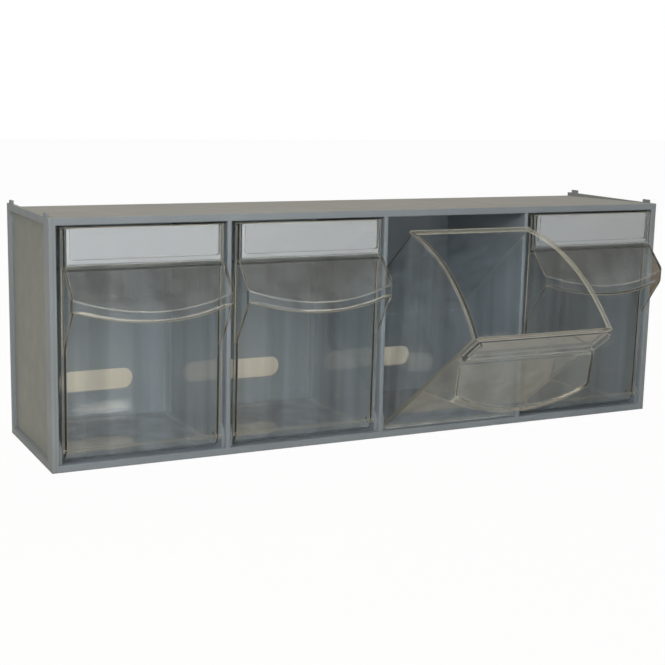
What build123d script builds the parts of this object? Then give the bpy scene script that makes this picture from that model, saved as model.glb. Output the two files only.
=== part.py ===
"""Tip-out compartment bin unit: a moulded grey housing with four clear bins that tilt forward.

Millimetres, +Z up. X runs along the front, the front faces -Y. The origin is the centre of the
housing's underside. The third bin is modelled tilted open. The others are closed, and rest
one degree forward of upright.
"""
from build123d import *
from math import cos, hypot, radians, sin, sqrt, tan
import os

# Housing, outside
WIDTH = 600.0
HEIGHT = 206.0
DEPTH = 140.0
BIN_COUNT = 4
SIDE_MARGIN = 4.0

# Housing, walls
FRAME_BAND = 6.0
FRAME_DEPTH = 7.0
FRAME_CHAMFER = 0.5
DIVIDER_BAND = 3.8
DIVIDER_WALL = 2.4
SIDE_WALL = 2.0
TOP_WALL = 2.8
BACK_WALL = 3.0
BACK_DRAFT = 3.5

# Rims round the side walls
FRONT_RIM = 15.0
REAR_RIM = 6.0
EDGE_RIM = 6.0

# Hanging slots in the back wall
SLOT_LENGTH = 68.5
SLOT_HEIGHT = 19.5
SLOT_Z = 42.7

# Stacking pegs on the side rims and their sockets underneath
PEG_LENGTH = 9.0
PEG_WIDTH = 2.0
PEG_HEIGHT = 3.0
PEG_FRONT_SETBACK = 13.5
PEG_REAR_SETBACK = 10.5
PEG_CLEARANCE = 0.3

# Hinge at the foot of each bin
HINGE_SETBACK = 12.7
CHEEK_RADIUS = 9.5
CHEEK_THICKNESS = 3.0
PIN_RADIUS = 2.6
PIN_CLEARANCE = 0.05
PIN_END_GAP = 0.3
REST_ANGLE = 1.0
OPEN_ANGLE = 54.0
OPEN_BIN = 3
STOP_GAP = 0.25
STOP_HEIGHT = 2.0

# Bin cup
BIN_WALL = 2.0
SIDE_EDGE_RADIUS = 2.5
HEEL_RADIUS = 9.0
SIDE_CLEARANCE = 0.4
TOP_CLEARANCE = 1.2
FLOOR_CLEARANCE = 0.3
REAR_CLEARANCE = 3.3
FOOT_RADIUS = 9.7
REAR_WALL_HEIGHT = 139.4
REAR_WALL_LEAN = 6.7
SIDE_TAPER = 5.2
FLANGE = 2.0
PANEL_STEP = 0.5
RIM_HEIGHT = 2.4
RIM_LEDGE = 0.5
RIM_CORNER = 2.0

# Label pad, card and cover
LABEL_SIDE_MARGIN = 3.3
LABEL_HEIGHT = 29.5
LABEL_TOP_MARGIN = 0.3
PAD_DEPTH = 1.2
COVER_SKIRT = 0.8
COVER_FIT = 0.2
COVER_WINDOW = 1.2
COVER_PROUD = 3.4
COVER_BEVEL = 0.8
COVER_SIDE_RIM = 2.8
COVER_LOWER_RIM = 4.6
COVER_CORNER = 2.5
CARD_THICKNESS = 0.4
CARD_MARGIN = 0.2

# Handle under the label
HANDLE_TOP_MARGIN = 2.0
HANDLE_SIDE_MARGIN = 0.7
HANDLE_SLOPE = 45.0
HANDLE_END_REACH = 27.4
HANDLE_MIDDLE_REACH = 37.8
HANDLE_CORNER = 4.0
HANDLE_WALL = 2.2
HANDLE_LIP = 9.2
GUSSET_DROP = 70.0

# Places that follow from the sizes
front_y = -DEPTH / 2
back_y = DEPTH / 2
inner_back_y = back_y - BACK_WALL
frame_back_y = front_y + FRAME_DEPTH
pitch = (WIDTH - 2 * SIDE_MARGIN) / BIN_COUNT
opening_width = pitch - DIVIDER_BAND
opening_height = HEIGHT - 2 * FRAME_BAND
cell_width = pitch - DIVIDER_WALL
side_outer_x = (BIN_COUNT - 1) * pitch / 2 + cell_width / 2 + SIDE_WALL
side_rim_step = WIDTH / 2 - side_outer_x
cell_centres = [(index - (BIN_COUNT - 1) / 2) * pitch for index in range(BIN_COUNT)]
panel_half_width = opening_width / 2 - CHEEK_THICKNESS - SIDE_CLEARANCE


def draft_rise(y):
    """Height that the top and bottom walls have drawn in at depth y."""
    return BACK_DRAFT * max(0.0, y - frame_back_y) / (back_y - frame_back_y)


# The bin is drawn upright about its hinge axis, and these places are measured from there
hinge_y = front_y + HINGE_SETBACK
cup_top_y = inner_back_y - REAR_CLEARANCE - FLANGE - hinge_y
cup_foot_y = cup_top_y - REAR_WALL_LEAN
floor_under_bin = TOP_WALL + draft_rise(hinge_y + cup_foot_y)
hinge_z = floor_under_bin + FLOOR_CLEARANCE + FOOT_RADIUS
sweep_radius = HEIGHT - FRAME_BAND - TOP_CLEARANCE - hinge_z
panel_top = sqrt(sweep_radius**2 - FOOT_RADIUS**2)
rear_top = REAR_WALL_HEIGHT - FOOT_RADIUS
rear_radius = hypot(cup_top_y, rear_top)
ledge_y = -FOOT_RADIUS + BIN_WALL + RIM_LEDGE
body_half_width = panel_half_width - FLANGE
label_top = panel_top - LABEL_TOP_MARGIN
label_bottom = label_top - LABEL_HEIGHT
label_half_width = panel_half_width - LABEL_SIDE_MARGIN
handle_half_width = panel_half_width - HANDLE_SIDE_MARGIN
handle_top = label_bottom - HANDLE_TOP_MARGIN
cover_back_y = -FOOT_RADIUS - PAD_DEPTH - CARD_THICKNESS - COVER_FIT
cover_front_y = cover_back_y - COVER_WINDOW - COVER_PROUD


def rim_arc(drop=0.0):
    """Front, middle and back points of the bin's curved side edge, lowered by drop."""
    middle_direction = Vector(0, (ledge_y + cup_top_y) / 2, (panel_top + rear_top) / 2).normalized()
    middle = middle_direction * ((sweep_radius + rear_radius) / 2 - drop)
    back = Vector(0, cup_top_y, rear_top).normalized() * (rear_radius - drop)
    return (ledge_y, panel_top - drop), (middle.Y, middle.Z), (back.Y, back.Z)


def half_width_at(y, front_half_width):
    """Half width of the tapered cup at depth y behind the hinge."""
    share = (y + FOOT_RADIUS) / (cup_top_y + FOOT_RADIUS)
    return front_half_width - SIDE_TAPER * share


def taper_outline(front_half_width, rear_y):
    """Plan outline of the cup, wide at the front and narrower at the back."""
    rear_half_width = half_width_at(rear_y, front_half_width)
    Polyline(
        (-front_half_width, -FOOT_RADIUS),
        (front_half_width, -FOOT_RADIUS),
        (rear_half_width, rear_y),
        (-rear_half_width, rear_y),
        close=True,
    )


def cup_block(inset, lift):
    """Solid cup with a round foot and heel, drawn in by inset, its open side raised by lift."""
    foot = FOOT_RADIUS - inset
    lean = REAR_WALL_LEAN / REAR_WALL_HEIGHT
    ledge, middle, _ = rim_arc(-lift)
    with BuildPart() as block:
        with BuildSketch(Plane.YZ) as profile:
            with BuildLine():
                start = (0, -foot)
                rear_low = (cup_foot_y - inset, -foot)
                rear_high = (cup_top_y - inset + lean * lift, rear_top + lift)
                Polyline(start, rear_low, rear_high)
                ThreePointArc(rear_high, middle, ledge)
                Polyline(ledge, (-foot, panel_top + lift), (-foot, 0))
                ThreePointArc((-foot, 0), (-foot * cos(radians(45)), -foot * sin(radians(45))), start)
            make_face()
            heel = profile.vertices().group_by(Axis.Y)[0].sort_by(Axis.X)[-1]
            fillet(heel, radius=HEEL_RADIUS - inset)
        extrude(amount=WIDTH, both=True)
        with BuildSketch(Plane.XY.offset(-2 * FOOT_RADIUS)):
            with BuildLine():
                taper_outline(body_half_width - inset, cup_top_y + 2 * HEEL_RADIUS)
            make_face()
        extrude(amount=2 * HEIGHT, mode=Mode.INTERSECT)
    return block.part


def rim_band():
    """Flange along the cup's curved side edges and its rear edge, still filled in the middle."""
    outer = rim_arc()
    inner = rim_arc(RIM_HEIGHT)
    rear_face = cup_top_y + FLANGE
    with BuildPart() as band:
        with BuildSketch(Plane.YZ):
            with BuildLine():
                ThreePointArc(*outer)
                Polyline(outer[2], (rear_face, rear_top), (rear_face, rear_top - RIM_HEIGHT), inner[2])
                ThreePointArc(*reversed(inner))
                Polyline(inner[0], (-FOOT_RADIUS, inner[0][1]), (-FOOT_RADIUS, panel_top), outer[0])
            make_face()
        extrude(amount=WIDTH, both=True)
        with BuildSketch(Plane.XY) as plan:
            with BuildLine():
                taper_outline(panel_half_width - PANEL_STEP, rear_face)
            make_face()
            fillet(plan.vertices().group_by(Axis.Y)[-1], radius=RIM_CORNER)
        extrude(amount=2 * HEIGHT, mode=Mode.INTERSECT)
    return band.part


def handle_roof(drop):
    """Root, shoulder and far end of the handle's roof line, lowered by drop."""
    far_y = -FOOT_RADIUS - 2 * HANDLE_MIDDLE_REACH
    fall = (cover_front_y - far_y) * tan(radians(HANDLE_SLOPE))
    top = handle_top - drop
    return (-FOOT_RADIUS, top), (cover_front_y, top), (far_y, top - fall)


def handle_block(inset, drop, lower_edge):
    """Block under the roof line, closed by its lower edge, with a bowed front and round corners."""
    half = handle_half_width - inset
    end_y = -FOOT_RADIUS - HANDLE_END_REACH + inset
    middle_y = -FOOT_RADIUS - HANDLE_MIDDLE_REACH + inset
    with BuildPart() as block:
        with BuildSketch(Plane.YZ):
            with BuildLine():
                Polyline(*handle_roof(drop), *lower_edge, close=True)
            make_face()
        extrude(amount=handle_half_width, both=True)
        with BuildSketch(Plane.XY) as plan:
            with BuildLine():
                Polyline((-half, end_y), (-half, -FOOT_RADIUS), (half, -FOOT_RADIUS), (half, end_y))
                ThreePointArc((half, end_y), (0, middle_y), (-half, end_y))
            make_face()
            fillet(plan.vertices().group_by(Axis.Y)[0], radius=HANDLE_CORNER - inset)
        extrude(amount=HEIGHT, mode=Mode.INTERSECT)
    return block.part


# Housing: one moulding
with BuildPart() as housing:
    with Locations((0, 0, HEIGHT / 2)):
        Box(WIDTH, DEPTH, HEIGHT)
    # The top and bottom walls draw in towards the back, between the side rims
    with BuildSketch(Plane.YZ):
        with BuildLine():
            Polyline((frame_back_y, HEIGHT), (back_y, HEIGHT), (back_y, HEIGHT - BACK_DRAFT), close=True)
        make_face()
        with BuildLine():
            Polyline((frame_back_y, 0), (back_y, 0), (back_y, BACK_DRAFT), close=True)
        make_face()
    extrude(amount=side_outer_x, both=True, mode=Mode.SUBTRACT)
    # Side walls sunk behind their rims
    window_depth = DEPTH - FRONT_RIM - REAR_RIM
    window_y = (FRONT_RIM - REAR_RIM) / 2
    for side in (-1, 1):
        with BuildSketch(Plane.YZ.offset(side * WIDTH / 2)):
            with Locations((window_y, HEIGHT / 2)):
                Rectangle(window_depth, HEIGHT - 2 * EDGE_RIM)
        extrude(amount=-side * side_rim_step, mode=Mode.SUBTRACT)
    # Cells behind the front frame
    for x in cell_centres:
        with BuildSketch(Plane.YZ.offset(x)):
            with BuildLine():
                Polyline(
                    (frame_back_y, TOP_WALL),
                    (inner_back_y, TOP_WALL + draft_rise(inner_back_y)),
                    (inner_back_y, HEIGHT - TOP_WALL - draft_rise(inner_back_y)),
                    (frame_back_y, HEIGHT - TOP_WALL),
                    close=True,
                )
            make_face()
        extrude(amount=cell_width / 2, both=True, mode=Mode.SUBTRACT)
    # Openings through the front frame
    with BuildSketch(Plane.XZ.offset(-front_y)):
        with Locations((0, HEIGHT / 2)):
            with GridLocations(pitch, 0, BIN_COUNT, 1):
                Rectangle(opening_width, opening_height)
    extrude(amount=-FRAME_DEPTH, mode=Mode.SUBTRACT)
    chamfer(housing.faces().sort_by(Axis.Y)[0].edges(), FRAME_CHAMFER)
    # Hanging slots through the back wall
    with BuildSketch(Plane.XZ.offset(-back_y)):
        with Locations((0, SLOT_Z)):
            with GridLocations(pitch, 0, BIN_COUNT, 1):
                SlotOverall(SLOT_LENGTH, SLOT_HEIGHT)
    extrude(amount=BACK_WALL, mode=Mode.SUBTRACT)
    # Hinge cheeks at both sides of each cell, with blind bores for the bins' pins
    for x in cell_centres:
        for side in (-1, 1):
            cheek_face = x + side * (opening_width / 2 - CHEEK_THICKNESS)
            with BuildSketch(Plane.YZ.offset(cheek_face)):
                with Locations((hinge_y, hinge_z)):
                    Circle(CHEEK_RADIUS)
                with Locations((hinge_y, (hinge_z + TOP_WALL / 2) / 2)):
                    Rectangle(2 * CHEEK_RADIUS, hinge_z - TOP_WALL / 2)
            extrude(amount=side * (CHEEK_THICKNESS + (cell_width - opening_width) / 2))
            with BuildSketch(Plane.YZ.offset(cheek_face)):
                with Locations((hinge_y, hinge_z)):
                    Circle(PIN_RADIUS + PIN_CLEARANCE)
            extrude(amount=side * (CHEEK_THICKNESS + PIN_END_GAP), mode=Mode.SUBTRACT)
    # Stacking pegs on the side rims and sockets of the same plan below
    rim_middle_x = (WIDTH / 2 + side_outer_x) / 2
    peg_rows = (front_y + PEG_FRONT_SETBACK, back_y - PEG_REAR_SETBACK)
    peg_places = [(side * rim_middle_x, y) for side in (-1, 1) for y in peg_rows]
    with BuildSketch(Plane.XY.offset(HEIGHT)):
        with Locations(*peg_places):
            Rectangle(PEG_WIDTH, PEG_LENGTH)
    extrude(amount=PEG_HEIGHT)
    with BuildSketch(Plane.XY):
        with Locations(*peg_places):
            Rectangle(PEG_WIDTH + 2 * PEG_CLEARANCE, PEG_LENGTH + 2 * PEG_CLEARANCE)
    extrude(amount=PEG_HEIGHT + PEG_CLEARANCE, mode=Mode.SUBTRACT)

# Cup: thin shell with flanged rims, a wide front panel, hinge pins, label pad and handle
with BuildPart() as cup:
    add(cup_block(0, 0))
    low_limit = (rear_top + panel_top) / 4
    side_faces = cup.faces().sort_by(Axis.X)
    for side_face in (side_faces[0], side_faces[-1]):
        low_edges = side_face.edges().filter_by(lambda edge: edge.center().Z < low_limit)
        fillet(low_edges, radius=SIDE_EDGE_RADIUS)
    add(rim_band())
    # Front panel, wider than the cup behind it
    with BuildSketch(Plane.XZ.offset(FOOT_RADIUS)):
        with Locations((0, panel_top / 2)):
            Rectangle(2 * panel_half_width, panel_top)
    extrude(amount=-BIN_WALL)
    add(cup_block(BIN_WALL, 3 * RIM_HEIGHT), mode=Mode.SUBTRACT)
    # Raised pad that carries the label card
    pad_half_width = label_half_width - COVER_SKIRT - COVER_FIT
    pad_bottom = label_bottom + COVER_SKIRT + COVER_FIT
    with BuildSketch(Plane.XZ.offset(FOOT_RADIUS)):
        with Locations((0, (label_top + pad_bottom) / 2)):
            Rectangle(2 * pad_half_width, label_top - pad_bottom)
    extrude(amount=PAD_DEPTH)
    # Stop rib, which meets the housing's lower front band when the bin is open
    stop_reach = (hinge_z - FRAME_BAND - STOP_GAP) / sin(radians(OPEN_ANGLE))
    with BuildSketch(Plane.XZ.offset(FOOT_RADIUS)):
        with Locations((0, STOP_HEIGHT / 2)):
            Rectangle(2 * panel_half_width, STOP_HEIGHT)
    extrude(amount=stop_reach - FOOT_RADIUS)
    # Hinge pins on both sides
    pin_root = half_width_at(0, body_half_width) - BIN_WALL / 2
    for side in (-1, 1):
        with BuildSketch(Plane.YZ.offset(side * pin_root)):
            Circle(PIN_RADIUS)
        extrude(amount=side * (opening_width / 2 - pin_root))
    # Handle: a sloping roof with a bowed lip and a gusset at each end
    lip_y = -FOOT_RADIUS - HANDLE_END_REACH
    lip_z = handle_top - (cover_front_y - lip_y) * tan(radians(HANDLE_SLOPE)) - HANDLE_LIP
    gusset_foot = (-FOOT_RADIUS, handle_top - GUSSET_DROP)
    far_y, far_z = handle_roof(0)[-1]
    add(handle_block(0, 0, ((far_y, far_z - HANDLE_LIP), (lip_y, lip_z), gusset_foot)))
    roof_drop = HANDLE_WALL / cos(radians(HANDLE_SLOPE))
    hollow_floor = handle_top - GUSSET_DROP - HANDLE_MIDDLE_REACH
    hollow = handle_block(HANDLE_WALL, roof_drop, ((far_y, hollow_floor), (-FOOT_RADIUS, hollow_floor)))
    add(hollow, mode=Mode.SUBTRACT)

# Label card, and the clear cover that slips over the pad from below
card_bottom = pad_bottom + CARD_MARGIN
card_top = label_top - CARD_MARGIN
with BuildPart() as card:
    with BuildSketch(Plane.XZ.offset(FOOT_RADIUS + PAD_DEPTH)):
        with Locations((0, (card_bottom + card_top) / 2)):
            Rectangle(2 * (pad_half_width - CARD_MARGIN), card_top - card_bottom)
    extrude(amount=CARD_THICKNESS)

with BuildPart() as cover:
    label_middle = (label_top + label_bottom) / 2
    with BuildSketch(Plane.XZ.offset(FOOT_RADIUS)):
        with Locations((0, label_middle)):
            Rectangle(2 * label_half_width, LABEL_HEIGHT)
    extrude(amount=-cover_front_y - FOOT_RADIUS)
    chamfer(cover.faces().sort_by(Axis.Y)[0].edges(), COVER_BEVEL)
    with BuildSketch(Plane.XZ.offset(FOOT_RADIUS)):
        with Locations((0, label_middle + COVER_SKIRT)):
            Rectangle(2 * (label_half_width - COVER_SKIRT), LABEL_HEIGHT)
    extrude(amount=-cover_back_y - FOOT_RADIUS, mode=Mode.SUBTRACT)
    # Sunk window, open at the top, which leaves a rim along the sides and the bottom
    with BuildSketch(Plane.XZ.offset(-cover_front_y)) as window:
        with Locations((0, label_middle + COVER_LOWER_RIM)):
            Rectangle(2 * (label_half_width - COVER_SIDE_RIM), LABEL_HEIGHT)
        fillet(window.vertices().group_by(Axis.Y)[0], radius=COVER_CORNER)
    extrude(amount=-COVER_PROUD, mode=Mode.SUBTRACT)

os.makedirs("parts", exist_ok=True)
housing.part.label = "housing"
export_step(housing.part, "parts/housing.step")

for number, x in enumerate(cell_centres, start=1):
    tilt = OPEN_ANGLE if number == OPEN_BIN else REST_ANGLE
    place = Location((x, hinge_y, hinge_z), (tilt, 0, 0))
    for stem, piece in (("bin", cup), ("label_card", card), ("label_cover", cover)):
        with BuildPart() as placed:
            with Locations(place):
                add(piece.part)
        placed.part.label = f"{stem}_{number}"
        export_step(placed.part, f"parts/{stem}_{number}.step")
print(f"hinge at y {hinge_y:.3f}, z {hinge_z:.3f}; housing and {BIN_COUNT} bins written")
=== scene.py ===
"""Looks of the tip-out bin unit: grey moulded housing, clear bins, label cards and their covers."""
from math import radians

import bpy
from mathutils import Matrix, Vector

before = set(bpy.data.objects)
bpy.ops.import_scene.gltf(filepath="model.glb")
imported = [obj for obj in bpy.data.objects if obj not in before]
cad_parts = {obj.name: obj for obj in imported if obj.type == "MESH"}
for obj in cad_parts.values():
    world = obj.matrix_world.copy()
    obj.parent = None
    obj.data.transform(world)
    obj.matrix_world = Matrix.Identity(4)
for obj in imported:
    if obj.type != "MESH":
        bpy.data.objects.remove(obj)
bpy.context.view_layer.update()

# Camera of the photograph
CAMERA_PLACE = (-0.5619, -1.0869, 0.3119)
CAMERA_TURN = (79.4613, -1.2598, -26.4482)
CAMERA_LENS = 71.72
SENSOR_WIDTH = 36

# Colours, linear
WHITE = (1, 1, 1, 1)
HOUSING_GREY = (0.222, 0.248, 0.272, 1)
HOUSING_PALE = (0.252, 0.277, 0.299, 1)
# Painted shade: the darker, warmer tone of the recessed side walls
PANEL_SHADE_GREY = (0.225, 0.230, 0.212, 1)
CLEAR_TINT = (0.905, 0.928, 0.940, 1)
# Painted reflection streaks: darker upright bands in the clear walls
CLEAR_PAINTED_STREAK = (0.735, 0.755, 0.770, 1)
# Painted glow along the clear bins' edges, pale and warm
CLEAR_EDGE_GLOW = (0.56, 0.51, 0.35, 1)
CLEAR_SHADE = (0.84, 0.85, 0.85, 1)
COVER_TINT = (0.95, 0.96, 0.96, 1)
# Painted glow along the label covers' edges
COVER_EDGE_GLOW = (0.50, 0.51, 0.50, 1)
CARD_WHITE = (0.336, 0.342, 0.354, 1)
CARD_GREY = (0.320, 0.326, 0.338, 1)
FLOOR_PALE = (0.66, 0.63, 0.545, 1)
FLOOR_GLOW = (0.90, 0.97, 1.0, 1)
FLOOR_WARM = (0.46, 0.36, 0.22, 1)
FLOOR_DIM = (0.155, 0.112, 0.07, 1)
WORLD_LIT = (0.95, 0.98, 1.0, 1)
SKY_FRONT = (0.78, 0.86, 0.93, 1)
SKY_BACK = (0.42, 0.36, 0.27, 1)
SKY_HIGH = (0.54, 0.48, 0.37, 1)

# Housing: the recessed side walls lie between these distances from the middle, in metres
PANEL_X = (0.2960, 0.2975)
HOUSING_SPECULAR = 0.4
HOUSING_ROUGHNESS = (0.40, 0.52)
HOUSING_EDGE = 0.0006
# How much of the painted shade each speckle of the recessed side walls takes
PANEL_SHADE_SPECKLE = (0.55, 1.0)
PANEL_GRAIN = 1.6
PLAIN_GRAIN = 0.3

# Clear plastic: wall thicknesses in metres, and how its painted edge glow, painted reflection
# streaks and waves look
BIN_WALL = 0.002
COVER_WALL = 0.0012
BIN_ROUGHNESS = 0.02
COVER_ROUGHNESS = 0.03
CLEAR_IOR = 1.46
CLEAR_SPECULAR = 0.22
EDGE_REACH = 0.5
EDGE_GAIN = 4.0
# How much less light the edges let through, so that the painted edge glow shows
EDGE_GLOW_OPACITY = 0.75
EDGE_ROUNDING = 0.4
# Where the painted reflection streaks lie in their noise, and how they stretch upright
PAINTED_STREAK_LIMITS = (0.42, 0.64)
PAINTED_STREAK_STRETCH = (1, 1, 0.04)
WAVE_STRETCH = (1, 1, 0.12)
FOOT_CLEARNESS = 0.94
WALL_CLEARNESS = 0.985
FOOT_HEIGHTS = (0.011, 0.014)

# Card
CARD_ROUGHNESS = 0.8
CARD_SPECULAR = 0.2
FIBRE_STRETCH = (0.4, 1, 1)

# Floor: half its width, and where its glow changes in reflections and through clear pieces
FLOOR_HALF = 6.0
WARM_Y = (-0.45, -0.15)
GLOW_LEFT = (0.9, 0.15)
GLOW_X = (-0.3, 0.5)
GLOW_Y = (-0.05, 0.05)
FAR_REACH = (0.38, 0.6)
SEEN_GLOW = 0.97

# World: its light, and where its seen colour changes by direction
WORLD_LIGHT = 0.34
SKY_Y = (-0.3, 0.5)
SKY_Z = (0.2, 0.8)

# Name, place, target, width and height, power and colour of each lamp
LAMPS = (
    ("front_left", (-1.21, -1.16, 0.66), (-0.1, 0, 0.1), (0.35, 0.35), 5.6, (0.93, 0.98, 1.0)),
    ("key", (-1.7, -1.1, 1.3), (-0.1, 0, 0.1), (1.1, 0.9), 2.3, (1, 1, 1)),
    ("low_front", (0.33, -1.7, 0.3), (0, 0, 0.12), (0.16, 0.16), 2.0, (1.0, 0.90, 0.74)),
    ("low_left", (-0.75, -1.7, 0.3), (0, 0, 0.12), (0.2, 0.2), 3.8, (0.90, 0.96, 1.0)),
    ("top", (0.0, 0.7, 1.7), (0, 0, 0), (1.8, 1.0), 16, (1.0, 0.86, 0.66)),
    ("near_camera", (-0.585, -0.995, 0.665), (0, 0, 0.05), (0.14, 0.14), 2.5, (1, 1, 1)),
)


def new_material(name):
    """An empty node material and its output node."""
    material = bpy.data.materials.new(name)
    material.use_nodes = True
    material.node_tree.nodes.clear()
    return material, material.node_tree.nodes.new("ShaderNodeOutputMaterial")


def add_node(tree, kind, values=(), **settings):
    """A node with its settings and the default values of its named inputs."""
    node = tree.nodes.new(kind)
    for key, value in settings.items():
        setattr(node, key, value)
    for key, value in dict(values).items():
        node.inputs[key].default_value = value
    return node


def maths(tree, operation, first, second=None, clamp=False):
    """Result of an operation on one or two values, each a number or a socket."""
    node = add_node(tree, "ShaderNodeMath", operation=operation, use_clamp=clamp)
    for place, value in enumerate((first, second)):
        if isinstance(value, (int, float)):
            node.inputs[place].default_value = value
        elif value is not None:
            tree.links.new(value, node.inputs[place])
    return node.outputs["Value"]


def mix_colours(tree, share, low, high):
    """Colour between two others, each a value or a socket."""
    node = add_node(tree, "ShaderNodeMix", data_type="RGBA")
    tree.links.new(share, node.inputs["Factor"])
    for key, value in (("A", low), ("B", high)):
        socket = [item for item in node.inputs if item.name == key and item.type == "RGBA"][0]
        if isinstance(value, tuple):
            socket.default_value = value
        else:
            tree.links.new(value, socket)
    return [item for item in node.outputs if item.type == "RGBA"][0]


def mix_shaders(tree, share, low, high, output):
    """Links a mix of two shader sockets to the output's surface."""
    mix = add_node(tree, "ShaderNodeMixShader")
    tree.links.new(share, mix.inputs["Fac"])
    tree.links.new(low, mix.inputs[1])
    tree.links.new(high, mix.inputs[2])
    tree.links.new(mix.outputs["Shader"], output.inputs["Surface"])


def coordinates(tree, kind):
    """X, Y and Z sockets of a texture coordinate."""
    place = add_node(tree, "ShaderNodeTexCoord")
    split = add_node(tree, "ShaderNodeSeparateXYZ")
    tree.links.new(place.outputs[kind], split.inputs["Vector"])
    return split.outputs


def noise(tree, scale, detail=3.0, stretch=(1, 1, 1)):
    """Noise that stays with the piece when it moves."""
    place = add_node(tree, "ShaderNodeTexCoord")
    scaled = add_node(tree, "ShaderNodeMapping", {"Scale": stretch})
    texture = add_node(tree, "ShaderNodeTexNoise", {"Scale": scale, "Detail": detail})
    tree.links.new(place.outputs["Object"], scaled.inputs["Vector"])
    tree.links.new(scaled.outputs["Vector"], texture.inputs["Vector"])
    return texture.outputs["Fac"]


def spread(tree, source, low, high, start=0.3, end=0.7):
    """Maps values from start to end to the range from low to high."""
    limits = {"From Min": start, "From Max": end, "To Min": low, "To Max": high}
    ramp = add_node(tree, "ShaderNodeMapRange", limits)
    tree.links.new(source, ramp.inputs["Value"])
    return ramp.outputs["Result"]


def edge_share(tree, radius, gain):
    """Share that is 0 on a flat face and rises towards its edges."""
    rounded = add_node(tree, "ShaderNodeBevel", {"Radius": radius}, samples=4)
    shape = add_node(tree, "ShaderNodeNewGeometry")
    dot = add_node(tree, "ShaderNodeVectorMath", operation="DOT_PRODUCT")
    tree.links.new(rounded.outputs["Normal"], dot.inputs[0])
    tree.links.new(shape.outputs["Normal"], dot.inputs[1])
    bend = maths(tree, "SUBTRACT", 1.0, maths(tree, "ABSOLUTE", dot.outputs["Value"]))
    return maths(tree, "MULTIPLY", bend, gain, clamp=True)


def grain(tree, shader, height, strength, distance, radius=0.0):
    """Bump on a shader, over edges rounded by radius."""
    bump = add_node(tree, "ShaderNodeBump", {"Strength": strength, "Distance": distance})
    tree.links.new(height, bump.inputs["Height"])
    if radius:
        rounded = add_node(tree, "ShaderNodeBevel", {"Radius": radius}, samples=4)
        tree.links.new(rounded.outputs["Normal"], bump.inputs["Normal"])
    tree.links.new(bump.outputs["Normal"], shader.inputs["Normal"])


def moulded_grey():
    """Satin grey plastic: faint cloudiness and a fine grain, with coarser side walls, speckled and
    made darker and warmer by painted shade.
    """
    material, output = new_material("moulded_grey")
    tree = material.node_tree
    shader = add_node(tree, "ShaderNodeBsdfPrincipled", {"Specular IOR Level": HOUSING_SPECULAR})
    clouds = spread(tree, noise(tree, 14.0, 6.0), 0.0, 1.0)
    plain = mix_colours(tree, clouds, HOUSING_GREY, HOUSING_PALE)
    out = maths(tree, "ABSOLUTE", coordinates(tree, "Object")["X"])
    low, high = PANEL_X
    past_low = maths(tree, "GREATER_THAN", out, low)
    panel = maths(tree, "MULTIPLY", past_low, maths(tree, "LESS_THAN", out, high))
    # Painted shade on the recessed side walls, speckled: darker and warmer
    speckled_shade = spread(tree, noise(tree, 420.0, 4.0), *PANEL_SHADE_SPECKLE)
    colour = mix_colours(tree, maths(tree, "MULTIPLY", panel, speckled_shade), plain, PANEL_SHADE_GREY)
    tree.links.new(colour, shader.inputs["Base Color"])
    tree.links.new(spread(tree, noise(tree, 60.0), *HOUSING_ROUGHNESS), shader.inputs["Roughness"])
    coarseness = maths(tree, "ADD", maths(tree, "MULTIPLY", panel, PANEL_GRAIN), PLAIN_GRAIN)
    height = maths(tree, "MULTIPLY", noise(tree, 700.0, 2.0), coarseness)
    grain(tree, shader, height, 0.10, 0.0002, HOUSING_EDGE)
    tree.links.new(shader.outputs["BSDF"], output.inputs["Surface"])
    return material


def clear_plastic(name, tint, painted_streak, edge_glow, shade, roughness, wall):
    """Clear plastic that lets lamp light through, with a painted glow along its edges, painted
    reflection streaks and waves.
    """
    material, output = new_material(name)
    tree = material.node_tree
    optics = {"IOR": CLEAR_IOR, "Specular IOR Level": CLEAR_SPECULAR}
    shader = add_node(tree, "ShaderNodeBsdfPrincipled", optics)
    # Painted glow along the edges: the pale edge colour takes over towards each edge
    share = edge_share(tree, EDGE_REACH * wall, EDGE_GAIN)
    # Painted reflection streaks: darker upright bands in the tint
    painted_streaks = spread(tree, noise(tree, 50.0, 4.0, PAINTED_STREAK_STRETCH), 0.0, 1.0, *PAINTED_STREAK_LIMITS)
    colour = mix_colours(tree, share, mix_colours(tree, painted_streaks, tint, painted_streak), edge_glow)
    tree.links.new(colour, shader.inputs["Base Color"])
    height = coordinates(tree, "Object")["Z"]
    clear = spread(tree, height, FOOT_CLEARNESS, WALL_CLEARNESS, *FOOT_HEIGHTS)
    # Less transmission along the edges, so that the painted edge glow shows
    clear = maths(tree, "SUBTRACT", clear, maths(tree, "MULTIPLY", share, EDGE_GLOW_OPACITY))
    tree.links.new(clear, shader.inputs["Transmission Weight"])
    rough = spread(tree, noise(tree, 45.0), roughness, 2.5 * roughness)
    tree.links.new(rough, shader.inputs["Roughness"])
    grain(tree, shader, noise(tree, 40.0, 1.0, WAVE_STRETCH), 0.5, 0.0004, EDGE_ROUNDING * wall)
    through = add_node(tree, "ShaderNodeBsdfTransparent", {"Color": shade})
    rays = add_node(tree, "ShaderNodeLightPath")
    shadow = rays.outputs["Is Shadow Ray"]
    mix_shaders(tree, shadow, shader.outputs["BSDF"], through.outputs["BSDF"], output)
    return material


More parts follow.
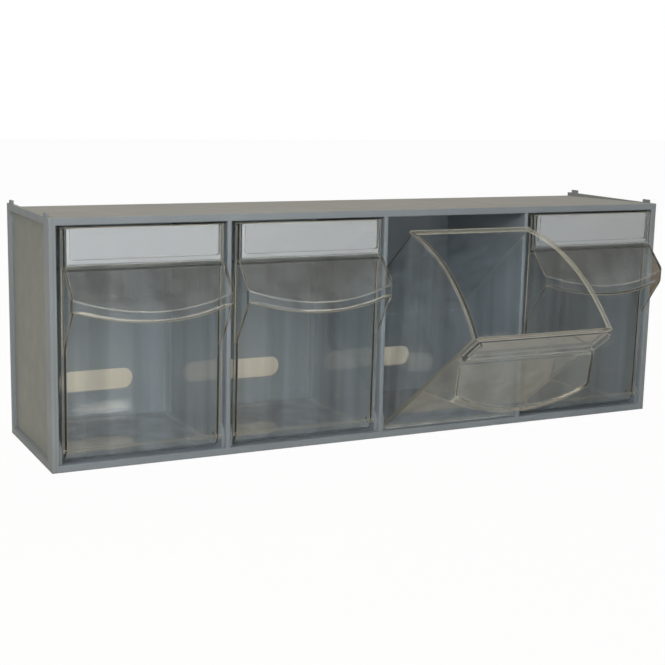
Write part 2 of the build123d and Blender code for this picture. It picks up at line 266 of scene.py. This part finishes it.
def label_paper():
    """Plain pale card with a faint fibre."""
    material, output = new_material("label_paper")
    tree = material.node_tree
    finish = {"Roughness": CARD_ROUGHNESS, "Specular IOR Level": CARD_SPECULAR}
    shader = add_node(tree, "ShaderNodeBsdfPrincipled", finish)
    fibre = spread(tree, noise(tree, 300.0, 5.0, FIBRE_STRETCH), 0.0, 1.0)
    tree.links.new(mix_colours(tree, fibre, CARD_WHITE, CARD_GREY), shader.inputs["Base Color"])
    grain(tree, shader, noise(tree, 900.0), 0.1, 0.0001)
    tree.links.new(shader.outputs["BSDF"], output.inputs["Surface"])
    return material


def seen_share(tree, camera, mirrored, through):
    """Share for rays from the camera, by reflection and through clear pieces, never after a
    diffuse bounce. Each is a value or a socket."""
    rays = add_node(tree, "ShaderNodeLightPath")
    passed = rays.outputs["Is Transmission Ray"]
    bounced = maths(tree, "SUBTRACT", rays.outputs["Is Glossy Ray"], passed, clamp=True)
    total = maths(tree, "MULTIPLY", rays.outputs["Is Camera Ray"], camera)
    for source, share in ((bounced, mirrored), (passed, through)):
        total = maths(tree, "ADD", total, maths(tree, "MULTIPLY", source, share))
    sharp = maths(tree, "LESS_THAN", rays.outputs["Diffuse Depth"], 0.5)
    return maths(tree, "MULTIPLY", total, sharp)


def backdrop_white():
    """Pale floor that looks white and keeps the object's shadow."""
    material, output = new_material("backdrop_white")
    tree = material.node_tree
    shader = add_node(tree, "ShaderNodeBsdfDiffuse", {"Color": FLOOR_PALE})
    glow = add_node(tree, "ShaderNodeEmission", {"Strength": 1.0})
    rays = add_node(tree, "ShaderNodeLightPath")
    place = add_node(tree, "ShaderNodeTexCoord")
    split = add_node(tree, "ShaderNodeSeparateXYZ")
    reach = add_node(tree, "ShaderNodeVectorMath", operation="LENGTH")
    tree.links.new(place.outputs["Object"], split.inputs["Vector"])
    tree.links.new(place.outputs["Object"], reach.inputs[0])
    behind = spread(tree, split.outputs["Y"], 0.0, 1.0, *WARM_Y)
    mirrored = mix_colours(tree, behind, FLOOR_GLOW, FLOOR_WARM)
    dimmed = mix_colours(tree, rays.outputs["Is Transmission Ray"], mirrored, FLOOR_DIM)
    seen = mix_colours(tree, rays.outputs["Is Camera Ray"], dimmed, WHITE)
    tree.links.new(seen, glow.inputs["Color"])
    left = spread(tree, split.outputs["X"], *GLOW_LEFT, *GLOW_X)
    ahead = spread(tree, split.outputs["Y"], 1.0, 0.0, *GLOW_Y)
    far = spread(tree, reach.outputs["Value"], 0.0, SEEN_GLOW, *FAR_REACH)
    share = seen_share(tree, SEEN_GLOW, maths(tree, "MULTIPLY", left, ahead), far)
    mix_shaders(tree, share, shader.outputs["BSDF"], glow.outputs["Emission"], output)
    return material


def white_world(light):
    """A world that is white to the camera, coloured in reflections, and lights evenly."""
    world = bpy.data.worlds.new("studio")
    bpy.context.scene.world = world
    world.use_nodes = True
    tree = world.node_tree
    tree.nodes.clear()
    output = add_node(tree, "ShaderNodeOutputWorld")
    lit = add_node(tree, "ShaderNodeBackground", {"Color": WORLD_LIT, "Strength": light})
    seen = add_node(tree, "ShaderNodeBackground", {"Strength": 1.0})
    rays = add_node(tree, "ShaderNodeLightPath")
    direction = coordinates(tree, "Generated")
    behind = spread(tree, direction["Y"], 0.0, 1.0, *SKY_Y)
    around = mix_colours(tree, behind, SKY_FRONT, SKY_BACK)
    above = spread(tree, direction["Z"], 0.0, 1.0, *SKY_Z)
    sky = mix_colours(tree, above, around, SKY_HIGH)
    colour = mix_colours(tree, rays.outputs["Is Camera Ray"], sky, WHITE)
    tree.links.new(colour, seen.inputs["Color"])
    share = seen_share(tree, 1.0, 1.0, 1.0)
    mix_shaders(tree, share, lit.outputs["Background"], seen.outputs["Background"], output)


def softbox(name, place, target, size, power, colour):
    """A rectangular lamp that faces a target point."""
    lamp = bpy.data.lights.new(name, "AREA")
    lamp.shape = "RECTANGLE"
    lamp.size, lamp.size_y = size
    lamp.energy = power
    lamp.color = colour
    holder = bpy.data.objects.new(name, lamp)
    holder.location = place
    aim = Vector(target) - Vector(place)
    holder.rotation_euler = aim.to_track_quat("-Z", "Y").to_euler()
    bpy.context.scene.collection.objects.link(holder)


def set_camera():
    """Camera at the photograph's place and angle."""
    lens = bpy.data.cameras.new("camera")
    lens.lens = CAMERA_LENS
    lens.sensor_width = SENSOR_WIDTH
    holder = bpy.data.objects.new("camera", lens)
    holder.location = CAMERA_PLACE
    holder.rotation_euler = [radians(angle) for angle in CAMERA_TURN]
    bpy.context.scene.collection.objects.link(holder)
    bpy.context.scene.camera = holder


def set_floor():
    """Large pale floor."""
    half = FLOOR_HALF
    mesh = bpy.data.meshes.new("floor")
    corners = [(-half, -half, 0), (half, -half, 0), (half, half, 0), (-half, half, 0)]
    mesh.from_pydata(corners, [], [(0, 1, 2, 3)])
    floor = bpy.data.objects.new("floor", mesh)
    mesh.materials.append(backdrop_white())
    bpy.context.scene.collection.objects.link(floor)


def dress(stem, material):
    """Gives every node whose name is this stem, or the stem and a number, its material."""
    for name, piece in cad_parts.items():
        if name == stem or name.rsplit("_", 1)[0] == stem:
            for slot in piece.material_slots:
                slot.material = material


set_camera()
set_floor()
white_world(WORLD_LIGHT)
for lamp_values in LAMPS:
    softbox(*lamp_values)

dress("housing", moulded_grey())
bin_colours = (CLEAR_TINT, CLEAR_PAINTED_STREAK, CLEAR_EDGE_GLOW, CLEAR_SHADE)
dress("bin", clear_plastic("bin_clear", *bin_colours, BIN_ROUGHNESS, BIN_WALL))
cover_colours = (COVER_TINT, COVER_TINT, COVER_EDGE_GLOW, COVER_TINT)
dress("label_cover", clear_plastic("cover_clear", *cover_colours, COVER_ROUGHNESS, COVER_WALL))
dress("label_card", label_paper())

bpy.context.scene.view_settings.view_transform = "Standard"
